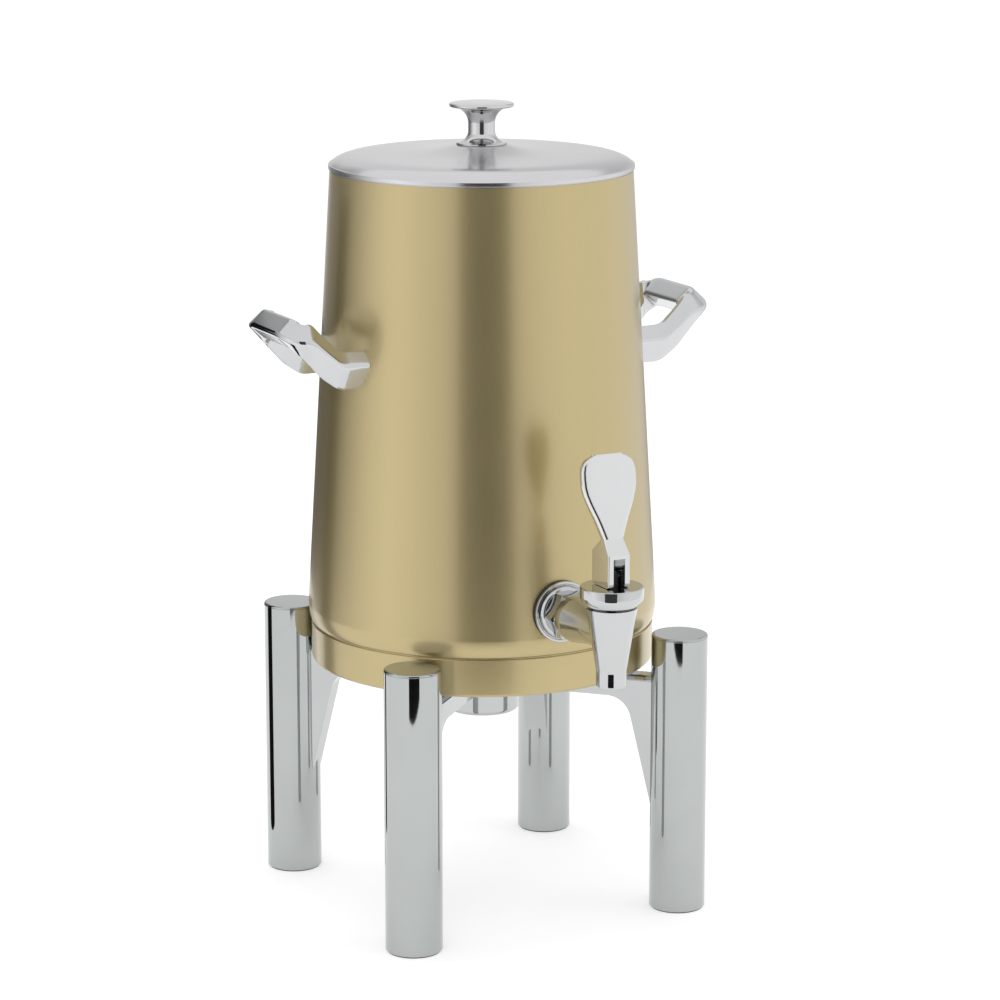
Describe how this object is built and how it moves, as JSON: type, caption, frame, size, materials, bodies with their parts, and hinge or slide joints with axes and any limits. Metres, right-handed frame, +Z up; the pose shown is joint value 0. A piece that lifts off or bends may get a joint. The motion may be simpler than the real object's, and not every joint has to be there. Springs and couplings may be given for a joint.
{
  "type": "insulated coffee urn",
  "caption": "Insulated tapered drink urn with a lift-off lid, two loop handles and a lever faucet, bolted to a stand of round posts with arched arms.",
  "frame": {"origin": "on the urn's upright axis, level with the floor under the four feet", "axes": "+Z up along the urn's axis, -Y towards the faucet, the two loop handles on the X axis"},
  "size_m": [0.3188, 0.3256, 0.5459],
  "materials": {
    "gold_steel": "champagne gold, brushed upright",
    "satin_steel": "satin",
    "plain_steel": "mill",
    "spring_steel": "drawn",
    "chromed_legs": "polished",
    "chromed_castings": "polished",
    "chromed_handles": "polished",
    "chromed_knob": "polished",
    "chromed_faucet": "polished",
    "chromed_lever": "polished",
    "plated_screws": "zinc plated",
    "black_rubber": "matte",
    "black_nylon": "satin",
    "pale_silicone": "satin",
    "foam": "foamed"
  },
  "bodies": {
    "urn": {"leg_front_left": "chromed_legs", "leg_front_right": "chromed_legs", "leg_rear_left": "chromed_legs", "leg_rear_right": "chromed_legs", "leg_caps": "chromed_legs", "foot_pads": "black_rubber", "arm_front_left": "chromed_castings", "arm_front_right": "chromed_castings", "arm_rear_left": "chromed_castings", "arm_rear_right": "chromed_castings", "leg_screws": "plated_screws", "stand_hub": "chromed_castings", "arm_screws": "plated_screws", "hub_bolt": "plated_screws", "hub_washer": "plated_screws", "hub_cap": "chromed_castings", "rest_pads": "black_rubber", "base_band": "gold_steel", "base_plate": "plain_steel", "base_foam": "foam", "outer_shell": "gold_steel", "wall_foam": "foam", "inner_liner": "plain_steel", "handle_left": "chromed_handles", "handle_right": "chromed_handles", "handle_plates": "plain_steel", "handle_screws": "plated_screws", "faucet_gasket": "black_rubber", "faucet_escutcheon": "chromed_faucet", "faucet_nut": "chromed_faucet", "faucet_shank": "plain_steel", "shank_spacer": "plain_steel", "liner_gasket": "pale_silicone", "liner_locknut": "plain_steel", "faucet_body": "chromed_faucet", "faucet_bonnet": "chromed_faucet", "stem_gland": "pale_silicone", "valve_spring": "spring_steel"},
    "lid": {"lid_cover": "satin_steel", "lid_pan": "plain_steel", "lid_foam": "foam", "lid_knob": "chromed_knob", "knob_screw": "plated_screws", "knob_washer": "plated_screws"},
    "stem": {"valve_stem": "black_nylon", "seat_cup": "pale_silicone"},
    "lever": {"faucet_lever": "chromed_lever", "lever_pin": "plated_screws"}
  },
  "joints": [
    {"name": "lid_lift", "type": "slide", "parent": "urn", "child": "lid", "axis": [0, 0, 1], "range_m": [0, 0.1]},
    {"name": "stem_lift", "type": "slide", "parent": "urn", "child": "stem", "axis": [0, 0, 1], "range_m": [0, 0.0042], "deforming": ["valve_spring"]},
    {"name": "lever_tilt", "type": "hinge", "parent": "stem", "child": "lever", "pos_m": [0, -0.1864, 0.2623], "axis": [1, 0, 0], "range_deg": [0, 40], "stiffness_Nm_per_rad": 0.5, "springref_deg": -17.19}
  ],
  "couplings": [
    {"joint": "stem_lift", "follows": "lever_tilt", "m_per_rad": 0.0056}
  ]
}
